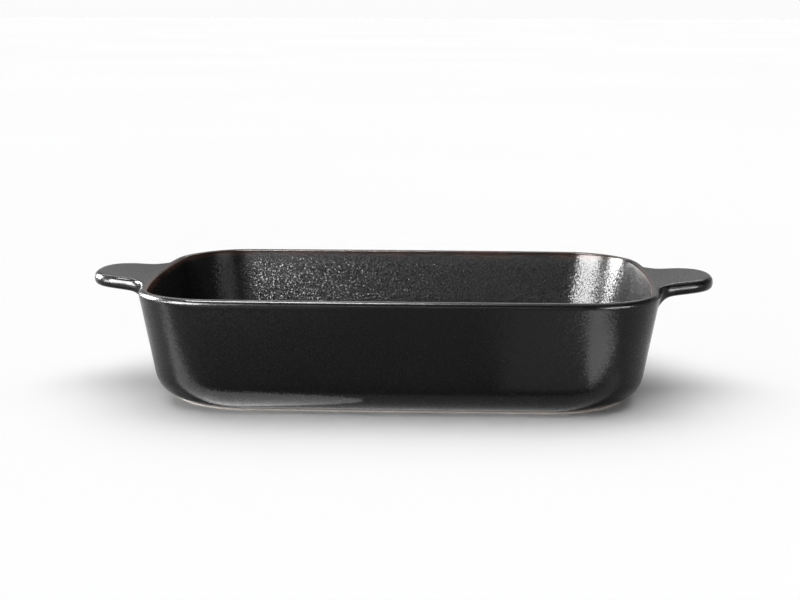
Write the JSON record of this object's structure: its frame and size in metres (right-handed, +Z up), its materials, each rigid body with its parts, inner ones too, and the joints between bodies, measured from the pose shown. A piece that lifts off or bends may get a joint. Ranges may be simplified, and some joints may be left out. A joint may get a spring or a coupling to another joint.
{
  "type": "rectangular baking dish",
  "caption": "Rectangular stoneware baking dish with drafted walls, rounded corners, a rolled rim, tab handles on the short ends, a satin black glaze and a bare foot ring.",
  "frame": {"origin": "on the surface that the foot ring stands on, under the middle of the dish", "axes": "+X along the long side through both handles, +Y across the dish towards its back, +Z up out of the dish"},
  "size_m": [0.4028, 0.222, 0.0738],
  "materials": {
    "stoneware": "bare fired clay, matt",
    "slip": "bare fired clay, matt",
    "black_glaze": "satin black glaze with a fine sandy grain that breaks red-brown on the edges"
  },
  "bodies": {
    "root": {"stoneware_body": "stoneware", "left_handle": "stoneware", "right_handle": "stoneware", "left_handle_slip": "slip", "right_handle_slip": "slip", "inside_glaze": "black_glaze", "outside_glaze": "black_glaze", "underside_glaze": "black_glaze"}
  },
  "joints": []
}
